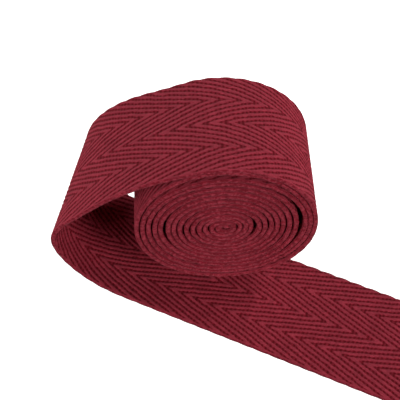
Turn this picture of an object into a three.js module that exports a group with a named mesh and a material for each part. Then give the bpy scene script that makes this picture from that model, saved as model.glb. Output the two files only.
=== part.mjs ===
// A roll of cotton herringbone webbing, partly unrolled.
//
// One tape is wound into a nearly round roll, which lies with its axis level, along Y. The outermost
// turn comes up the right side and over the top, leaves the roll to the left, slopes down to a rounded
// fold, turns under, and lies flat on the surface below the roll and out to the right and the front.
//
// Two solids, 0.3 mm apart: the wound part in one piece, and the loose end as a sheet of the tape's
// thickness. Millimetres, +Z up. The sizes are worked out from the foot of the roll's front face, and the
// whole is then moved so that its origin is the middle of the bottom of its bounding box.

import * as THREE from "three";

// The tape.
const TAPE_WIDTH = 38;
const TAPE_THICKNESS = 1.5;
const CLEARANCE = 0.3;

// The wound part. Its outline is a spiral: the outside loses one pitch of radius in one turn.
const ROLL_RADIUS = 31.2;
const OUTER_PITCH = 2.0;
const FLAT_SPOT_DEPTH = 0.15;
const OUTLINE_STEPS = 96;

// The tape leaves the roll this many degrees to the left of its top.
const LEAVE_ANGLE = 17;
const LEAVE_BEND_RADIUS = 107;

// The loose end follows a cubic spline, whose control points lie about this far apart.
const CONTROL_SPACING = 13.1;

// The loop between the roll and the floor, walked from the roll in even steps. Seen from the front, the
// way down starts at the first slope, in degrees below level, and steepens a little at each step, and more
// at each step of the fold. Steps are counted from the leaving point, and the first is the roll's own.
const LOOP_STEP = 13.4;
const LOOP_LAST_STEP = 6;
const FOLD_FIRST_STEP = 4;
const FIRST_SLOPE = 27;
const SLOPE_BEND = 14;
const FOLD_BEND = 30;

// The line across the tape in the loop is turned from +Y towards +X by this angle. Its far end is raised,
// and the middle of the tape goes back, most at one step, and less over a spread of steps to both sides.
const LOOP_TURN = 18;
const FAR_END_RAISED = { most: 19, middle: 3.2, spread: 1.6 };
const MIDDLE_BACK = { most: 4, middle: 4.8, spread: 1.5 };

// How fast the line across the tape turns and rises where the tape leaves the roll, in degrees per step.
const TURN_AT_ROLL = 10;
const RISE_AT_ROLL = 1;

// Where the fold ends on the floor, the way the tape lies from there, and how far it runs on.
const LANDING = { x: -22.4, y: 8.9 };
const LYING_ANGLE = 26;
const TURN_AT_LANDING = 4;
const LYING_LENGTH = 105;

// How finely the sheet is divided.
const STEPS_PER_CONTROL = 7;
const LYING_STEPS = 6;
const STRIPS_ACROSS = 6;

const webbing = new THREE.MeshStandardMaterial({ color: 0x86283a, roughness: 0.92, metalness: 0 });

const radians = THREE.MathUtils.degToRad;

// The outside of the roll at an angle clockwise from its top, for a viewer who looks along +Y.
function outsideRadius(angle) {
  return ROLL_RADIUS - (OUTER_PITCH * (angle + LEAVE_ANGLE)) / 360;
}

const rollFloor = TAPE_THICKNESS + CLEARANCE;
const axisHeight = rollFloor + outsideRadius(180) - FLAT_SPOT_DEPTH;

// The wound part: the spiral outline, with a flat spot below and a step where the outermost turn is cut,
// carried along the roll's axis.
function woundRoll() {
  const outline = new THREE.Shape();
  for (let step = 0; step <= OUTLINE_STEPS; step += 1) {
    const angle = -LEAVE_ANGLE + (360 * step) / OUTLINE_STEPS;
    const radius = outsideRadius(angle);
    const x = radius * Math.sin(radians(angle));
    const z = Math.max(axisHeight + radius * Math.cos(radians(angle)), rollFloor);
    if (step === 0) {
      outline.moveTo(x, z);
    } else {
      outline.lineTo(x, z);
    }
  }
  outline.closePath();
  const options = { depth: TAPE_WIDTH, bevelEnabled: false, curveSegments: 1 };
  const solid = new THREE.ExtrudeGeometry(outline, options);
  // The shape is drawn in X and Z; the extrusion runs back along Y.
  solid.rotateX(Math.PI / 2);
  solid.translate(0, TAPE_WIDTH, 0);
  return solid;
}

// Where the middle of the tape leaves the roll, with its direction and the way to the roll's axis.
function leavingPoint() {
  const angle = radians(LEAVE_ANGLE);
  const radius = ROLL_RADIUS - TAPE_THICKNESS / 2;
  const height = axisHeight + radius * Math.cos(angle);
  return {
    point: new THREE.Vector3(-radius * Math.sin(angle), TAPE_WIDTH / 2, height),
    along: new THREE.Vector3(-Math.cos(angle), 0, -Math.sin(angle)),
    inward: new THREE.Vector3(Math.sin(angle), 0, -Math.cos(angle)),
  };
}

// A value that is greatest at its middle step and falls away evenly to both sides, as a bell does.
function atStep(step, { most, middle, spread }) {
  return most * Math.exp(-(((step - middle) / spread) ** 2));
}

// All control points of the loose end: three set by the roll, the loop's steps, and three on the floor.
function loopControls() {
  const leave = leavingPoint();
  const curve = CONTROL_SPACING ** 2 / LEAVE_BEND_RADIUS;
  const controls = [-1, 0, 1].map((side) => {
    const bend = side === 0 ? -curve / 6 : curve / 3;
    const point = leave.point.clone().addScaledVector(leave.along, side * CONTROL_SPACING);
    point.addScaledVector(leave.inward, bend);
    return { point, turn: side * TURN_AT_ROLL, rise: side * RISE_AT_ROLL };
  });
  let { x, z } = controls[controls.length - 1].point;
  let slope = FIRST_SLOPE;
  for (let step = 2; step <= LOOP_LAST_STEP; step += 1) {
    x -= LOOP_STEP * Math.cos(radians(slope));
    z -= LOOP_STEP * Math.sin(radians(slope));
    const y = TAPE_WIDTH / 2 + atStep(step, MIDDLE_BACK);
    const point = new THREE.Vector3(x, y, z);
    controls.push({ point, turn: LOOP_TURN, rise: atStep(step, FAR_END_RAISED) });
    slope += step < FOLD_FIRST_STEP ? SLOPE_BEND : FOLD_BEND;
  }
  const landing = new THREE.Vector3(LANDING.x, LANDING.y, TAPE_THICKNESS / 2);
  for (const side of [-1, 0, 1]) {
    controls.push({
      point: landing.clone().addScaledVector(lyingDirection(), side * CONTROL_SPACING),
      turn: LYING_ANGLE + side * TURN_AT_LANDING,
      rise: 0,
    });
  }
  return controls;
}

function lyingDirection() {
  return new THREE.Vector3(Math.cos(radians(LYING_ANGLE)), -Math.sin(radians(LYING_ANGLE)), 0);
}

// The uniform cubic B-spline through the controls, at a whole number of spans and a fraction of one.
function splineAt(controls, place) {
  const span = Math.min(Math.floor(place), controls.length - 4);
  const f = place - span;
  const weights = [(1 - f) ** 3, 3 * f ** 3 - 6 * f ** 2 + 4, -3 * f ** 3 + 3 * f ** 2 + 3 * f + 1, f ** 3];
  const slopes = [-3 * (1 - f) ** 2, 9 * f ** 2 - 12 * f, -9 * f ** 2 + 6 * f + 3, 3 * f ** 2];
  const middle = new THREE.Vector3();
  const along = new THREE.Vector3();
  let turn = 0;
  let rise = 0;
  for (let k = 0; k < 4; k += 1) {
    const control = controls[span + k];
    middle.addScaledVector(control.point, weights[k] / 6);
    along.addScaledVector(control.point, slopes[k] / 6);
    turn += (control.turn * weights[k]) / 6;
    rise += (control.rise * weights[k]) / 6;
  }
  return { middle, along: along.normalize(), across: acrossDirection(turn, rise) };
}

// The unit vector across the tape, towards its far edge.
function acrossDirection(turn, rise) {
  return new THREE.Vector3(
    Math.sin(radians(turn)) * Math.cos(radians(rise)),
    Math.cos(radians(turn)) * Math.cos(radians(rise)),
    Math.sin(radians(rise)),
  );
}

// The straight lines across the tape, from the roll to the cut end. Each reaches both edges, so a line that
// slants across the tape is longer than the tape is wide.
function crossLines() {
  const controls = loopControls();
  const spans = controls.length - 3;
  const first = CLEARANCE / CONTROL_SPACING;
  const lines = [];
  const count = spans * STEPS_PER_CONTROL;
  for (let step = 0; step <= count; step += 1) {
    lines.push(splineAt(controls, first + ((spans - first) * step) / count));
  }
  const landing = lines[lines.length - 1];
  for (let step = 1; step <= LYING_STEPS; step += 1) {
    const distance = (LYING_LENGTH * step) / LYING_STEPS;
    const middle = landing.middle.clone().addScaledVector(lyingDirection(), distance);
    lines.push({ middle, along: lyingDirection(), across: acrossDirection(LYING_ANGLE, 0) });
  }
  for (const line of lines) {
    const slant = line.across.dot(line.along);
    line.halfLength = TAPE_WIDTH / 2 / Math.sqrt(1 - slant ** 2);
    line.outward = new THREE.Vector3().crossVectors(line.across, line.along).normalize();
  }
  return lines;
}

// The loose end: the ruled surface of the cross lines, given the tape's thickness and closed at its edges.
function looseEnd() {
  const lines = crossLines();
  const columns = STRIPS_ACROSS + 1;
  const positions = [];
  for (const face of [1, -1]) {
    for (const line of lines) {
      for (let column = 0; column < columns; column += 1) {
        const offset = line.halfLength * ((2 * column) / STRIPS_ACROSS - 1);
        const point = line.middle.clone().addScaledVector(line.across, offset);
        point.addScaledVector(line.outward, (face * TAPE_THICKNESS) / 2);
        positions.push(point.x, point.y, point.z);
      }
    }
  }
  const faceSize = lines.length * columns;
  const front = (row, column) => row * columns + column;
  const back = (row, column) => faceSize + front(row, column);
  const triangles = [];
  const quad = (a, b, c, d) => triangles.push(a, b, c, a, c, d);
  for (let row = 0; row + 1 < lines.length; row += 1) {
    for (let column = 0; column < STRIPS_ACROSS; column += 1) {
      quad(front(row, column), front(row, column + 1), front(row + 1, column + 1), front(row + 1, column));
      quad(back(row, column), back(row + 1, column), back(row + 1, column + 1), back(row, column + 1));
    }
    const far = STRIPS_ACROSS;
    quad(front(row, 0), front(row + 1, 0), back(row + 1, 0), back(row, 0));
    quad(front(row, far), back(row, far), back(row + 1, far), front(row + 1, far));
  }
  const last = lines.length - 1;
  for (let column = 0; column < STRIPS_ACROSS; column += 1) {
    quad(front(0, column), back(0, column), back(0, column + 1), front(0, column + 1));
    quad(front(last, column), front(last, column + 1), back(last, column + 1), back(last, column));
  }
  const sheet = new THREE.BufferGeometry();
  sheet.setAttribute("position", new THREE.Float32BufferAttribute(positions, 3));
  sheet.setIndex(triangles);
  return sheet;
}

const roll = new THREE.Group();
for (const [name, geometry] of [["wound_roll", woundRoll()], ["loose_end", looseEnd()]]) {
  const mesh = new THREE.Mesh(geometry, webbing);
  mesh.name = name;
  roll.add(mesh);
}

// The origin goes to the middle of the bottom of the bounding box.
const box = new THREE.Box3().setFromObject(roll);
const centre = box.getCenter(new THREE.Vector3());
roll.position.set(-centre.x, -centre.y, -box.min.z);

export default roll;
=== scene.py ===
import math

import bpy
import numpy as np
from mathutils import Matrix, Vector


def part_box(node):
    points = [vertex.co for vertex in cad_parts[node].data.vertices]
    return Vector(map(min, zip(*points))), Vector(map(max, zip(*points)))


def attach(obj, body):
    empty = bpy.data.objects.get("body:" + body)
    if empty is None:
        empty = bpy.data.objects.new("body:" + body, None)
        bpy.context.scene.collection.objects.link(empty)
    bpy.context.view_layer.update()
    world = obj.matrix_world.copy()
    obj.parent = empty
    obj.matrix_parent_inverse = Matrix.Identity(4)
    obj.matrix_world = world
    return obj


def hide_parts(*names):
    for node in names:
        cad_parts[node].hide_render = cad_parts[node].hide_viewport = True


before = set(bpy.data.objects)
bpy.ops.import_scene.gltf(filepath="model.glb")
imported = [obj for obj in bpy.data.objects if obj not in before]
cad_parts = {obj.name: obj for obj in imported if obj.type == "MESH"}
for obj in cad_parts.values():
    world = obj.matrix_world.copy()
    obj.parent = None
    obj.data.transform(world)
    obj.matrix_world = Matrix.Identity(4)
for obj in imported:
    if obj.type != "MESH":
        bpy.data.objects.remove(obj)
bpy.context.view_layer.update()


# The camera.
# It looks down steeply on the roll from in front of its face, a little left of straight ahead. It is placed
# from the foot of that face: X from the roll's axis, Y back from the face, Z up from the surface. The wound
# solid of the frame says where the foot is, because its outline is a spiral of known sizes.
ROLL_RADIUS = 0.0312
OUTER_PITCH = 0.0020
LEAVE_ANGLE = 17.0
OUTLINE_STEPS = 96
CAMERA_DISTANCE = 0.3682
CAMERA_DOWN = math.radians(54.4)
CAMERA_HEADING = math.radians(3.0)
CAMERA_ROLL = math.radians(0.96)
LOOKED_AT = (-0.0059, 0.0346, 0.0)
LENS = 88.7
SENSOR = 36.0


def find_foot():
    """The foot of the face: the wound solid's lowest corner, less the leftmost X of its spiral, which is
    radius(angle) * sin(angle)."""
    angles = np.linspace(-LEAVE_ANGLE, 360.0 - LEAVE_ANGLE, OUTLINE_STEPS + 1)
    radii = ROLL_RADIUS - OUTER_PITCH * (angles + LEAVE_ANGLE) / 360.0
    leftmost = (radii * np.sin(np.radians(angles))).min()
    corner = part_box("wound_roll")[0]
    return np.array([corner[0] - leftmost, corner[1], 0.0])


def make_camera(foot):
    """The camera, with LOOKED_AT in the middle of its picture. Right and up are turned about the line of
    sight by CAMERA_ROLL."""
    level = math.cos(CAMERA_DOWN)
    ahead = math.cos(CAMERA_HEADING) * level
    sight = Vector((math.sin(CAMERA_HEADING) * level, ahead, -math.sin(CAMERA_DOWN)))
    right = sight.cross(Vector((0.0, 0.0, 1.0))).normalized()
    right = Matrix.Rotation(-CAMERA_ROLL, 3, sight) @ right
    data = bpy.data.cameras.new("camera")
    data.lens = LENS
    data.sensor_width = SENSOR
    data.clip_start = 0.01
    data.clip_end = 20.0
    camera = bpy.data.objects.new("camera", data)
    bpy.context.scene.collection.objects.link(camera)
    axes = Matrix((right, right.cross(sight), -sight)).transposed().to_4x4()
    place = Vector(foot) + Vector(LOOKED_AT) - sight * CAMERA_DISTANCE
    camera.matrix_world = Matrix.Translation(place) @ axes
    bpy.context.scene.camera = camera


foot = find_foot()
make_camera(foot)


# The loose tape: the outermost half turn and the loose end.
# Cotton herringbone webbing, woven to its width with a selvedge on each side, in one length with the wound
# turns. It comes up the right side of the roll and over the top, leaves the roll, slopes down to a rounded
# fold at the left, turns under, and lies flat below the roll and out to its cut end.
TAPE_WIDTH = 0.038
TAPE_THICKNESS = 0.0015
SELVEDGE_DEPTH = 0.0005
SELVEDGE_STEPS = 6
SELVEDGE_SQUARENESS = 0.6
SCALLOP = 0.00013
SCALLOP_LEAN = 0.00005

# The spiral that the whole tape is wound in, seen along +Y: clockwise and inwards from where it leaves. The
# roll is a hair wider and taller than the wound solid, and its axis a little to the right.
TURNS = 14.2
OUTSIDE_RADIUS = 0.0305
AXIS_HEIGHT = 0.0320
AXIS_SHIFT = 0.00025
TALLER = 0.0085
EYE_RADIUS = 0.0012
EYE_SINK = 0.0003
EYE_SHIFT = -0.0002
EYE_FLATTENING = 0.15
HANDOVER = 197.0 / 360.0

# Turns that stand off the even spiral: turns in from the leaving point, and how far outwards there.
STAND_OFFS = (
    (0.42, 0.00060),
    (0.88, -0.00045),
    (1.30, 0.00060),
    (1.88, -0.00030),
    (2.30, 0.00090),
    (3.32, -0.00010),
    (4.80, 0.00025),
    (5.80, -0.00025),
    (7.80, 0.00010),
    (9.30, 0.00030),
    (10.30, -0.00035),
    (11.80, 0.00015),
)
STAND_OFF_TURNS = 0.13

# The turns inside the outermost also wander in and out a little: two waves, in radians per turn.
WANDER = 0.00016
WANDER_START = 1.2
WANDER_RATE = 14.5
WANDER_FADE_RATE = 3.1

# The turn under the loose tape sits back from the front face of the roll, most just below the top.
RECESS = 0.0009
RECESS_PLACE = 1.02
RECESS_TURNS = 0.20

# The loose end, walked from the roll in even steps. Seen from the front, the way down starts at the first
# slope, in degrees below level, and steepens a little at each step, and more at each step of the fold.
CONTROL_SPACING = 0.0131
LEAVE_BEND_RADIUS = 0.107
LOOP_STEP = 0.0134
LOOP_LAST_STEP = 6
FOLD_FIRST_STEP = 4
FIRST_SLOPE = 27.0
SLOPE_BEND = 14.0
FOLD_BEND = 30.0

# The line across the tape: its turn in the loop, how far its far end is raised, and how far the middle of
# the tape goes back. The last two are greatest at one step and fall away to both sides.
TURN_AT_ROLL = 10.0
RISE_AT_ROLL = 1.0
LOOP_TURN = 18.0
RISE_MOST = 19.0
RISE_STEP = 3.2
RISE_SPREAD = 1.6
BACK_MOST = 0.004
BACK_STEP = 4.8
BACK_SPREAD = 1.5
LANDING = (-0.0224, 0.0089)
LYING_ANGLE = 26.0
TURN_AT_LANDING = 4.0
LYING_LENGTH = 0.105

# How many points a line has before it is divided evenly: the spiral, the loop, and the straight run.
SPIRAL_POINTS = 12000
LOOP_POINTS = 4000
RUN_POINTS = 1500

# The weave: a two-and-two twill of 84 warp ends in four bands, whose ribs turn back at each band.
WARP_ENDS = 84
END_SPACING = 0.00045
PICK_SPACING = 0.00137
BANDS = 4
REPEAT = 4
RIB_HEIGHT = 0.00020
LOOSE_STEP = PICK_SPACING / 2
FACE_COLUMNS = 102

# The dyed cotton, from the top of a rib down to the holes in the groove beside it. The rib colour is
# the yarn's own, made a little pinker as painted sheen; the groove and hole colours are that yarn
# darkened with painted shade.
RIB_COLOUR_WITH_PAINTED_SHEEN = (0.338, 0.032, 0.052, 1.0)
GROOVE_COLOUR_WITH_PAINTED_SHADE = (0.186, 0.0055, 0.015, 1.0)
HOLE_COLOUR_WITH_PAINTED_SHADE = (0.112, 0.0005, 0.0045, 1.0)
GROOVE_HEIGHT = 0.45

# How the threads run: how far they drift from straight, in mm, and how ragged the edges of ribs and of the
# bridges between them are. A noise scale is in waves per mm on a UV map, and per metre elsewhere.
DRIFT_SCALE = 0.22
DRIFT_ALONG = 1.6
DRIFT_ACROSS = 0.5
RAGGED_SCALE = 550.0
RAGGED = 2.4
RIB_SIDES = (-0.85, 0.45)
BRIDGE_SIDES = (-0.6, 0.8)
BRIDGE_HEIGHT = 0.52
STRAND_DIP = 0.2

# The selvedge: where its smooth band, its knobbly edge and the shoulders of that edge begin and are whole,
# in mm from the middle of the tape, and how the knob pattern is made of noise. On turns packed in the
# roll the shoulders take painted shade.
BAND_PLACE = (18.2, 18.5)
EDGE_PLACE = (18.7, 18.9)
SHOULDER_PAINTED_SHADE_PLACE = (18.76, 18.97)
BAND_HEIGHT = 0.9
KNOB_SCALE = 1100.0
KNOB_NOISE = (0.36, 0.66)
KNOB_LOWEST = 0.45

# How much the shade varies from one float of yarn to the next, with the fibres, and over the cloth.
GRAIN = 0.30
FIBRE = 0.70
FIBRE_SCALE = 2600.0
PATCHES = 0.24
PATCH_SCALE = 160.0
FIBRE_RELIEF = 0.3
RELIEF_DEPTH = 0.00016


def wound_line(turns_in):
    """The middle of the tape in the roll. With share = turns in / TURNS, the radius goes evenly from the
    outside to the eye, plus exp(-distance squared) for each stand-off and a slow wander. The spiral is
    radius times (sin, cos) of the angle, stretched upright, sunk and shifted in proportion to share. Along
    the axis it is half a width back, plus RECESS * exp(-distance squared)."""
    share = turns_in / TURNS
    radius = OUTSIDE_RADIUS + (EYE_RADIUS - OUTSIDE_RADIUS) * share
    for place, outwards in STAND_OFFS:
        radius = radius + outwards * np.exp(-(((turns_in - place) / STAND_OFF_TURNS) ** 2))
    loosened = np.clip(turns_in - WANDER_START, 0.0, 1.0)
    wave = np.sin(WANDER_RATE * turns_in) * np.sin(WANDER_FADE_RATE * turns_in + 1.0)
    radius = radius + WANDER * loosened * wave
    angle = np.radians(360.0 * turns_in - LEAVE_ANGLE)
    upright = 1.0 + TALLER - EYE_FLATTENING * share
    x = AXIS_SHIFT - EYE_SHIFT * share + radius * np.sin(angle)
    z = AXIS_HEIGHT - EYE_SINK * share + radius * upright * np.cos(angle)
    y = TAPE_WIDTH / 2 + RECESS * np.exp(-(((turns_in - RECESS_PLACE) / RECESS_TURNS) ** 2))
    return np.stack([x, y, z], axis=1)


def lengths_along(points):
    """The length of the line through points, up to each of them."""
    return np.concatenate([[0.0], np.cumsum(np.linalg.norm(np.diff(points, axis=0), axis=1))])


def wound_path(outer, inner, step):
    """The spiral from inner to outer turns in, divided evenly into lengths of about one step. Returns the
    middle of the tape, the line across it and the slant of that line, which is none here."""
    dense = np.linspace(inner, outer, SPIRAL_POINTS)
    length = lengths_along(wound_line(dense))
    even = np.linspace(0.0, length[-1], int(round(length[-1] / step)) + 1)
    middle = wound_line(np.interp(even, length, dense))
    across = np.tile([0.0, 1.0, 0.0], (len(middle), 1))
    return middle, across, np.zeros(len(middle))


def bell(step, most, middle, spread):
    """A bell over the steps: most * exp(-distance squared), where the distance is how many spreads the step
    lies from the middle one."""
    return most * math.exp(-(((step - middle) / spread) ** 2))


def loop_controls():
    """Control rows x, y, z, turn, rise: three that leave the roll along its circle, the steps of the loop,
    each one LOOP_STEP down its slope, and three along the way the tape lies on the surface."""
    leave, before = wound_line(np.array([0.0, 0.001]))
    along = (leave - before) / np.linalg.norm(leave - before)
    inward = np.cross(along, [0.0, 1.0, 0.0])
    curve = CONTROL_SPACING**2 / LEAVE_BEND_RADIUS
    rows = []
    for side, bend in ((-1, curve / 3), (0, -curve / 6), (1, curve / 3)):
        point = leave + side * CONTROL_SPACING * along + bend * inward
        rows.append([*point, side * TURN_AT_ROLL, side * RISE_AT_ROLL])
    x, _, z = rows[-1][:3]
    slope = FIRST_SLOPE
    for step in range(2, LOOP_LAST_STEP + 1):
        x -= LOOP_STEP * math.cos(math.radians(slope))
        z -= LOOP_STEP * math.sin(math.radians(slope))
        y = TAPE_WIDTH / 2 + bell(step, BACK_MOST, BACK_STEP, BACK_SPREAD)
        rows.append([x, y, z, LOOP_TURN, bell(step, RISE_MOST, RISE_STEP, RISE_SPREAD)])
        slope += SLOPE_BEND if step < FOLD_FIRST_STEP else FOLD_BEND
    lying = np.array([math.cos(math.radians(LYING_ANGLE)), -math.sin(math.radians(LYING_ANGLE)), 0.0])
    landing = np.array([*LANDING, TAPE_THICKNESS / 2])
    for side in (-1, 0, 1):
        point = landing + side * CONTROL_SPACING * lying
        rows.append([*point, LYING_ANGLE + side * TURN_AT_LANDING, 0.0])
    return np.array(rows), lying


def loose_path(step):
    """The uniform cubic B-spline of the control rows, then the straight run, at even steps. The line across
    is (sin turn cos rise, cos turn cos rise, sin rise), lengthened by its slant to reach both edges."""
    controls, lying = loop_controls()
    places = np.linspace(0.0, len(controls) - 3, LOOP_POINTS)
    span = np.minimum(places.astype(int), len(controls) - 4)
    f = (places - span)[:, None]
    weights = ((1 - f) ** 3, 3 * f**3 - 6 * f**2 + 4, -3 * f**3 + 3 * f**2 + 3 * f + 1, f**3)
    rows = sum(weight * controls[span + k] for k, weight in enumerate(weights)) / 6
    run = np.linspace(0.0, LYING_LENGTH, RUN_POINTS)[1:, None]
    straight = np.hstack([rows[-1, :3] + run * lying, np.tile(rows[-1, 3:], (len(run), 1))])
    rows = np.vstack([rows, straight])
    length = lengths_along(rows[:, :3])
    even = np.linspace(0.0, length[-1], int(round(length[-1] / step)) + 1)
    rows = np.stack([np.interp(even, length, column) for column in rows.T], axis=1)
    middle = rows[:, :3]
    along = np.gradient(middle, axis=0)
    along /= np.linalg.norm(along, axis=1, keepdims=True)
    turn, rise = np.radians(rows[:, 3:]).T
    across = np.stack([np.sin(turn) * np.cos(rise), np.cos(turn) * np.cos(rise), np.sin(rise)], axis=1)
    slant = (across * along).sum(axis=1)
    reach = np.sqrt(1.0 - slant**2)
    return middle, across / reach[:, None], slant / reach


def weave_place(v):
    """How far across the weave a point lies: a zigzag of the distance v from the tape's middle, which climbs
    towards the far edge in the band there, falls in the next, and so on."""
    band = WARP_ENDS * END_SPACING / BANDS
    from_far = np.mod(WARP_ENDS * END_SPACING / 2 - v, 2 * band)
    return -np.where(from_far < band, from_far, 2 * band - from_far)


def tape_section(columns):
    """The outline of the tape's section: v across, and h from 1 on the outer face to -1 on the inner one.
    The faces are rows of points. A selvedge is a squared half ellipse, (depth * sin, cos) of 0 to 180
    degrees, each to the power SELVEDGE_SQUARENESS."""
    corner = TAPE_WIDTH / 2 - SELVEDGE_DEPTH
    face = np.linspace(-corner, corner, columns)
    bend = np.linspace(0.0, np.pi, SELVEDGE_STEPS + 2)[1:-1]
    edge = corner + SELVEDGE_DEPTH * np.sin(bend) ** SELVEDGE_SQUARENESS
    side = np.sign(np.cos(bend)) * np.abs(np.cos(bend)) ** SELVEDGE_SQUARENESS
    v = np.concatenate([face, edge, face[::-1], -edge])
    h = np.concatenate([np.ones(columns), side, -np.ones(columns), -side])
    return v, h


def tape_points(path, start, step, columns, rib_height, fullness):
    """The skin of a stretch of tape: middle + v * across + h * normal for each place and section point. The
    normal is square to the ruled surface there, and between the ribs the tape sinks by rib_height, as
    (cos(2 pi phase) - 1) / 2, with phase = u / repeat along - weave place / repeat across. The selvedges
    wave outwards in arcs, 2 |cos(pi u / repeat)| - 1, and shift or swell as fullness(u, h) says."""
    middle, across, slant = path
    v, h = tape_section(columns)
    s = start + np.arange(len(middle)) * step
    u = s[:, None] + slant[:, None] * v[None, :]
    along = np.gradient(middle, step, axis=0)[:, None, :]
    turning = np.gradient(across, step, axis=0)[:, None, :]
    normal = np.cross(across[:, None, :], along + v[None, :, None] * turning)
    normal /= np.linalg.norm(normal, axis=2, keepdims=True)
    phase = u / (REPEAT * PICK_SPACING) - weave_place(v)[None, :] / (REPEAT * END_SPACING)
    flatness = np.clip((TAPE_WIDTH / 2 - SELVEDGE_DEPTH - np.abs(v)) / (2 * END_SPACING), 0.0, 1.0)
    rib = rib_height / 2 * flatness * (np.cos(2 * np.pi * phase) - 1.0)
    selvedge = np.clip(1.0 - (TAPE_WIDTH / 2 - np.abs(v)) / (2 * SELVEDGE_DEPTH), 0.0, 1.0)
    arc = 2 * np.abs(np.cos(np.pi * u / (REPEAT * PICK_SPACING))) - 1.0
    shift, swell = fullness(u, h)
    reach = v + selvedge * (np.sign(v) * (SCALLOP * arc + shift) + SCALLOP_LEAN * arc)
    lift = h * (TAPE_THICKNESS / 2 + selvedge * swell) + rib
    points = middle[:, None, :] + reach[..., None] * across[:, None, :] + lift[..., None] * normal
    return points, u, v, h


def bake_sheet(rows, step, v, h):
    """A flat lay-out of the skin for baking: the tape's girth across and its length up, cut into strips
    side by side so that the whole is nearly square, with the two cut ends above them. Returns the corners
    of the quads, then the ends."""
    outline = np.stack([v, h * TAPE_THICKNESS / 2], axis=1)
    girth = lengths_along(np.vstack([outline, outline[:1]]))
    gap = 2 * TAPE_THICKNESS
    strips = max(1, int(round(math.sqrt((rows - 1) * step / girth[-1]))))
    rows_in_strip = math.ceil((rows - 1) / strips)
    row = np.arange(rows - 1)
    left = (row // rows_in_strip) * (girth[-1] + gap)
    up = (row % rows_in_strip) * step
    corners = []
    for next_row, next_point in ((0, 0), (0, 1), (1, 1), (1, 0)):
        a = left[:, None] + girth[None, next_point:next_point + len(v)]
        b = np.broadcast_to((up + next_row * step)[:, None], a.shape)
        corners.append(np.stack([a, b], axis=-1))
    ends = [outline + [TAPE_WIDTH / 2, rows_in_strip * step + gap * (k + 1)] for k in range(2)]
    side = max(strips * (girth[-1] + gap), rows_in_strip * step + 4 * gap)
    return np.stack(corners, axis=2) / side, [end / side for end in ends]


def make_tape(name, skin, step, material):
    """One closed mesh from the rows of section points: quads between rows, and quads and two rims over each
    end. Its UV maps are flat, (u, v) in mm; weave, (u, weave place) in mm, half a repeat on at the inner
    face; and OFBake, the lay-out for baking."""
    points, u, v, h = skin
    rows, around = u.shape
    columns = around // 2 - SELVEDGE_STEPS
    index = np.arange(rows * around).reshape(rows, around)
    turned = np.roll(index, -1, axis=1)
    quads = np.stack([index[:-1], turned[:-1], turned[1:], index[1:]], axis=-1).reshape(-1, 4)
    near = np.arange(columns - 1)
    opposite = around // 2 + columns - 1 - near
    ladder = np.stack([near, opposite, opposite - 1, near + 1], axis=1)
    far_rim = np.arange(columns - 1, around // 2 + 1)
    near_rim = np.append(np.arange(around // 2 + columns - 1, around), 0)
    end_faces = [*ladder, far_rim[::-1], near_rim[::-1]]
    faces = quads.tolist()
    faces += [index[0][face].tolist() for face in end_faces]
    faces += [index[-1][face[::-1]].tolist() for face in end_faces]
    mesh = bpy.data.meshes.new(name)
    mesh.from_pydata(points.reshape(-1, 3) + foot, [], faces)
    smooth = np.arange(len(faces)) < len(quads)
    mesh.polygons.foreach_set("use_smooth", smooth)

    corner = np.empty(len(mesh.loops), dtype=np.int32)
    mesh.loops.foreach_get("vertex_index", corner)
    inner_face = np.zeros(len(corner))
    inner_face[:quads.size] = np.repeat(np.tile(h + np.roll(h, -1) < 0, rows - 1), 4)
    corner_u = u.ravel()[corner] * 1000
    corner_v = np.tile(v, rows)[corner]
    half_repeat = inner_face * REPEAT * PICK_SPACING / 2 * 1000
    skin_places, end_places = bake_sheet(rows, step, v, h)
    order = np.concatenate(end_faces)
    reverse = np.concatenate([face[::-1] for face in end_faces])
    bake = np.concatenate([skin_places.reshape(-1, 2), end_places[0][order], end_places[1][reverse]])
    maps = {
        "flat": np.stack([corner_u, corner_v * 1000], axis=1),
        "weave": np.stack([corner_u + half_repeat, weave_place(corner_v) * 1000], axis=1),
        "OFBake": bake,
    }
    for map_name, places in maps.items():
        layer = mesh.uv_layers.new(name=map_name)
        layer.data.foreach_set("uv", places.ravel().astype(np.float32))
    mesh.materials.append(material)
    tape = bpy.data.objects.new(name, mesh)
    bpy.context.scene.collection.objects.link(tape)
    return tape


def add_node(tree, kind, values, **settings):
    """A node with its settings. Each value is put in the input of that name or number, or linked to it if
    the value is a socket."""
    node = tree.nodes.new(kind)
    for setting, value in settings.items():
        setattr(node, setting, value)
    for place, value in dict(values).items():
        if isinstance(value, bpy.types.NodeSocket):
            tree.links.new(value, node.inputs[place])
        else:
            node.inputs[place].default_value = value
    return node


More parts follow.
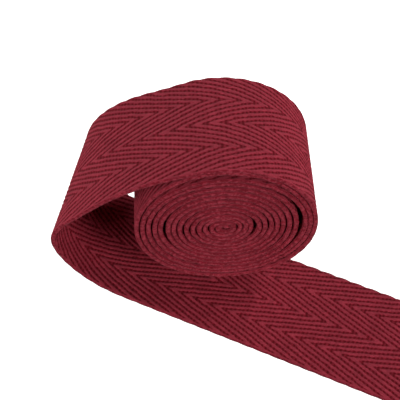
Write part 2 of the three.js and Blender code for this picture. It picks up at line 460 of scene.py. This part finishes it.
def webbing_material(name, shoulder_lightness):
    """Cotton yarn in the weave. With places counted in picks and in ends, a rib stands where
    cos(2 pi (pick - end) / 4) is high. The groove between two ribs is a row of holes, one at each pick,
    with bridges where cos(2 pi pick) is high. Height sets the colour and the bump, and noise makes the yarn
    uneven. The lower a place, the darker its colour: painted shade in the grooves and holes; the rib tops
    carry painted sheen. Shoulder lightness is how light the shoulders of a selvedge stay, from 0 to 1:
    below 1 they take painted shade, as dark lines where turns lie packed against them."""
    material = bpy.data.materials.new(name)
    material.use_nodes = True
    tree = material.node_tree
    shader = tree.nodes["Principled BSDF"]

    def maths(operation, *values):
        return add_node(tree, "ShaderNodeMath", enumerate(values), operation=operation).outputs[0]

    def ramp(value, low, high, bottom=0.0, top=1.0):
        values = {"Value": value, "From Min": low, "From Max": high, "To Min": bottom, "To Max": top}
        return add_node(tree, "ShaderNodeMapRange", values, interpolation_type="SMOOTHSTEP").outputs[0]

    def noise(vector, scale, detail=2.0):
        return add_node(tree, "ShaderNodeTexNoise", {"Vector": vector, "Scale": scale, "Detail": detail})

    def mix(share, low, high):
        return add_node(tree, "ShaderNodeMix", {"Factor": share, "A": low, "B": high}).outputs[0]

    def varied(value, amount):
        return maths("MULTIPLY_ADD", value, amount, 1.0 - amount / 2)

    flat = add_node(tree, "ShaderNodeUVMap", (), uv_map="flat").outputs[0]
    weave = add_node(tree, "ShaderNodeUVMap", (), uv_map="weave").outputs[0]
    solid = add_node(tree, "ShaderNodeTexCoord", ()).outputs["Object"]
    place = add_node(tree, "ShaderNodeSeparateXYZ", {0: weave})
    flat_place = add_node(tree, "ShaderNodeSeparateXYZ", {0: flat})

    # Threads that aren't quite straight: the weave drifts with a slow noise.
    slow = noise(flat, DRIFT_SCALE, 1.0).outputs["Color"]
    drift = add_node(tree, "ShaderNodeSeparateColor", {0: slow})
    u = maths("ADD", place.outputs["X"], maths("MULTIPLY", drift.outputs[0], DRIFT_ALONG))
    g = maths("ADD", place.outputs["Y"], maths("MULTIPLY", drift.outputs[1], DRIFT_ACROSS))

    end = maths("DIVIDE", g, END_SPACING * 1000)
    end_number = maths("ROUND", end)
    picks = maths("DIVIDE", u, PICK_SPACING * 1000)
    phase = maths("DIVIDE", maths("SUBTRACT", picks, end), REPEAT)
    uneven = maths("SUBTRACT", noise(solid, RAGGED_SCALE).outputs["Fac"], 0.5)
    rib_wave = maths("COSINE", maths("MULTIPLY", phase, 2 * math.pi))
    rib = ramp(maths("MULTIPLY_ADD", uneven, RAGGED, rib_wave), *RIB_SIDES)
    pick_wave = maths("COSINE", maths("MULTIPLY", picks, 2 * math.pi))
    bridge = ramp(maths("MULTIPLY_ADD", uneven, -RAGGED, pick_wave), *BRIDGE_SIDES, 0.0, BRIDGE_HEIGHT)
    strand = maths("ABSOLUTE", maths("COSINE", maths("MULTIPLY", end, math.pi)))
    roundness = maths("MULTIPLY_ADD", strand, STRAND_DIP, 1.0 - STRAND_DIP)
    woven = maths("MULTIPLY", mix(rib, bridge, 1.0), roundness)

    # The selvedge: a smooth band where the picks turn round the outer ends, and a fuzzy, knobbly edge.
    from_middle = maths("ABSOLUTE", flat_place.outputs["Y"])
    knobs_and_shoulder_shade = ramp(noise(solid, KNOB_SCALE).outputs["Fac"], *KNOB_NOISE, KNOB_LOWEST, 1.0)
    # Painted shade on the shoulders of the selvedge, as dark lines between turns packed in the roll.
    knobs_and_shoulder_shade = maths("MULTIPLY", knobs_and_shoulder_shade, ramp(from_middle, *SHOULDER_PAINTED_SHADE_PLACE, shoulder_lightness, 1.0))
    band = mix(ramp(from_middle, *BAND_PLACE), woven, BAND_HEIGHT)
    height = mix(ramp(from_middle, *EDGE_PLACE), band, knobs_and_shoulder_shade)

    # Yarn: each float a little lighter or darker than the next, fine fibres, and slow patches of shade.
    numbers = {0: end_number, 1: maths("ROUND", picks)}
    float_number = add_node(tree, "ShaderNodeCombineXYZ", numbers).outputs[0]
    per_float = add_node(tree, "ShaderNodeTexWhiteNoise", {"Vector": float_number}, noise_dimensions="2D")
    fibre = noise(solid, FIBRE_SCALE).outputs["Fac"]
    patch = noise(solid, PATCH_SCALE).outputs["Fac"]
    shade = maths("MULTIPLY", varied(per_float.outputs[0], GRAIN), varied(fibre, FIBRE))
    shade = maths("MULTIPLY", shade, varied(patch, PATCHES))

    # Colour by height: lower is darker, painted shade in grooves and holes; rib tops carry painted sheen.
    colours = add_node(tree, "ShaderNodeValToRGB", {"Fac": height})
    colours.color_ramp.elements[0].color = HOLE_COLOUR_WITH_PAINTED_SHADE
    colours.color_ramp.elements[1].color = RIB_COLOUR_WITH_PAINTED_SHEEN
    colours.color_ramp.elements.new(GROOVE_HEIGHT).color = GROOVE_COLOUR_WITH_PAINTED_SHADE
    shaded = {0: colours.outputs["Color"], "Scale": shade}
    tint = add_node(tree, "ShaderNodeVectorMath", shaded, operation="SCALE")
    tree.links.new(tint.outputs[0], shader.inputs["Base Color"])
    relief = maths("MULTIPLY_ADD", fibre, FIBRE_RELIEF, height)
    bump = add_node(tree, "ShaderNodeBump", {"Strength": 1.0, "Distance": RELIEF_DEPTH, "Height": relief})
    tree.links.new(bump.outputs["Normal"], shader.inputs["Normal"])
    shader.inputs["Roughness"].default_value = 0.95
    shader.inputs["Specular IOR Level"].default_value = 0.12
    shader.inputs["Sheen Weight"].default_value = 0.08
    shader.inputs["Sheen Roughness"].default_value = 0.6
    shader.inputs["Sheen Tint"].default_value = (1.0, 0.45, 0.5, 1.0)
    return material


def plain_selvedge(u, h):
    """A selvedge that only has its scallops: no shift outwards, no swelling."""
    return 0.0, 0.0


webbing = webbing_material("burgundy_webbing", 1.0)
outer_half = wound_path(0.0, HANDOVER, LOOSE_STEP)
loose_end = loose_path(LOOSE_STEP)
loose_run = tuple(np.concatenate([a[:-1], b]) for a, b in zip(outer_half, loose_end))
outer_length = (len(outer_half[0]) - 1) * LOOSE_STEP
skin = tape_points(loose_run, -outer_length, LOOSE_STEP, FACE_COLUMNS, RIB_HEIGHT, plain_selvedge)
loose_tape = make_tape("loose_tape", skin, LOOSE_STEP, webbing)
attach(loose_tape, "root")
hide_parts("loose_end")


# The outer turn.
# The next stretch of the same tape, inwards: from below the roll up its left side, inside the loop, and on
# over the top, under the loose tape. Its outer face shows at the left and from behind.
OUTER_TURN_END = 1.15

outer_path = wound_path(HANDOVER, OUTER_TURN_END, LOOSE_STEP)
turn_length = (len(outer_path[0]) - 1) * LOOSE_STEP
turn_start = -outer_length - turn_length
skin = tape_points(outer_path, turn_start, LOOSE_STEP, FACE_COLUMNS, RIB_HEIGHT, plain_selvedge)
outer_turn = make_tape("outer_turn", skin, LOOSE_STEP, webbing)
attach(outer_turn, "root")
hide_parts("wound_roll")


# The inner turns.
# Thirteen turns of the same tape, in to the eye. Only their selvedges show, as the spiral on each end of the
# roll: knobbly, each a little proud of its neighbours or behind them.
INNER_STEP = 0.0003
INNER_COLUMNS = 5
KNOB_HEIGHT = 0.00007
SIDEWAYS = 0.00014
SWELLING = 0.00010
UNEVEN_SWELLING = 0.00012
# How light the shoulders of these selvedges stay under painted shade, from 0 (fully dark) to 1.
PAINTED_SHADE_SHOULDER_LIGHTNESS = 0.0

# The waves of the selvedge, in radians per metre of tape: how the knobs drift and fade, the sideways waves,
# each with its height and its start, and the coarse and fine swellings, with their lean over the thickness.
KNOB_DRIFT = 0.8
KNOB_DRIFT_RATE = 310.0
KNOB_FADE = 0.4
KNOB_FADE_RATE = 733.0
SIDEWAYS_WAVES = ((1.0, 52.0, 0.0), (0.7, 87.0, 2.0), (0.5, 161.0, 1.0))
COARSE_SHARE = 0.6
COARSE_RATE = 1900.0
COARSE_LEAN = 3.0
COARSE_FADE_RATE = 457.0
FINE_SHARE = 0.4
FINE_RATE = 3700.0
FINE_LEAN = 2.0


def knobbly_selvedge(u, h):
    """Outwards, a knob for each pick, KNOB_HEIGHT * cos of its place, and slow waves. A selvedge is also a
    little thicker than the tape, unevenly, so that it fills most of the gap to the next turn."""
    drift = KNOB_DRIFT * np.sin(KNOB_DRIFT_RATE * u)
    fade = 1.0 - KNOB_FADE + KNOB_FADE * np.sin(KNOB_FADE_RATE * u)
    knob = np.cos(2 * np.pi * u / PICK_SPACING + drift) * fade
    slow = sum(high * np.sin(rate * u + start) for high, rate, start in SIDEWAYS_WAVES)
    coarse = np.sin(COARSE_RATE * u + COARSE_LEAN * h) * np.sin(COARSE_FADE_RATE * u)
    fine = np.sin(FINE_RATE * u + FINE_LEAN * h)
    uneven = COARSE_SHARE * coarse + FINE_SHARE * fine
    return KNOB_HEIGHT * knob + SIDEWAYS * slow, SWELLING + UNEVEN_SWELLING * uneven


inner_path = wound_path(OUTER_TURN_END, TURNS, INNER_STEP)
inner_length = (len(inner_path[0]) - 1) * INNER_STEP
skin = tape_points(inner_path, turn_start - inner_length, INNER_STEP, INNER_COLUMNS, 0.0, knobbly_selvedge)
# Their material paints shade on each selvedge's shoulders: the dark lines between packed turns.
painted_gap_shade_webbing = webbing_material("burgundy_webbing_painted_gap_shade", PAINTED_SHADE_SHOULDER_LIGHTNESS)
inner_turns = make_tape("inner_turns", skin, INNER_STEP, painted_gap_shade_webbing)
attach(inner_turns, "root")
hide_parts("wound_roll")


# The surface and the light.
# A white acrylic table, lit softly from below so that it stays white. Four broad soft lights stand low
# round it, as the walls of a light tent do. The one at the back right puts the strip in the roll's shadow.
FLOOR_SIDE = 12.0
FLOOR_COLOUR = (0.9, 0.9, 0.9, 1.0)
FLOOR_GLOW = 0.95
WHITE = (1.0, 1.0, 1.0, 1.0)
ROOM_GLOW = 0.02
LIGHT_SIZE = 0.5
LIGHT_DISTANCE = 0.9

half = FLOOR_SIDE / 2
corners = [(-half, -half, 0.0), (half, -half, 0.0), (half, half, 0.0), (-half, half, 0.0)]
floor_mesh = bpy.data.meshes.new("table")
floor_mesh.from_pydata(corners, [], [(0, 1, 2, 3)])
floor_material = bpy.data.materials.new("white_acrylic")
floor_material.use_nodes = True
floor_shader = floor_material.node_tree.nodes["Principled BSDF"]
floor_shader.inputs["Base Color"].default_value = FLOOR_COLOUR
floor_shader.inputs["Roughness"].default_value = 0.8
floor_shader.inputs["Emission Color"].default_value = WHITE
floor_shader.inputs["Emission Strength"].default_value = FLOOR_GLOW
floor_mesh.materials.append(floor_material)
floor = bpy.data.objects.new("table", floor_mesh)
floor.visible_diffuse = False
floor.visible_glossy = False
bpy.context.scene.collection.objects.link(floor)

scene = bpy.context.scene
scene.view_settings.view_transform = "Standard"
world = bpy.data.worlds.new("studio")
world.use_nodes = True
background = world.node_tree.nodes["Background"]
background.inputs["Color"].default_value = WHITE
background.inputs["Strength"].default_value = ROOM_GLOW
scene.world = world


def soft_light(name, heading, height, power):
    """A round light turned to the middle of the roll, LIGHT_DISTANCE away. Its heading is in degrees from
    straight in front towards the right, and its height in degrees above level."""
    data = bpy.data.lights.new(name, "AREA")
    data.shape = "DISK"
    data.size = LIGHT_SIZE
    data.energy = power
    lamp = bpy.data.objects.new(name, data)
    scene.collection.objects.link(lamp)
    level = math.cos(math.radians(height))
    right = math.sin(math.radians(heading)) * level
    back = -math.cos(math.radians(heading)) * level
    way = Vector((right, back, math.sin(math.radians(height))))
    middle = Vector(foot) + Vector((0.0, TAPE_WIDTH / 2, ROLL_RADIUS))
    turn = way.to_track_quat("Z", "Y").to_matrix().to_4x4()
    lamp.matrix_world = Matrix.Translation(middle + LIGHT_DISTANCE * way) @ turn


soft_light("back right", 113.0, 32.0, 4.6)
soft_light("front right", 50.0, 19.0, 4.9)
soft_light("front left", -54.0, 17.0, 4.8)
soft_light("back left", -135.0, 22.0, 4.2)
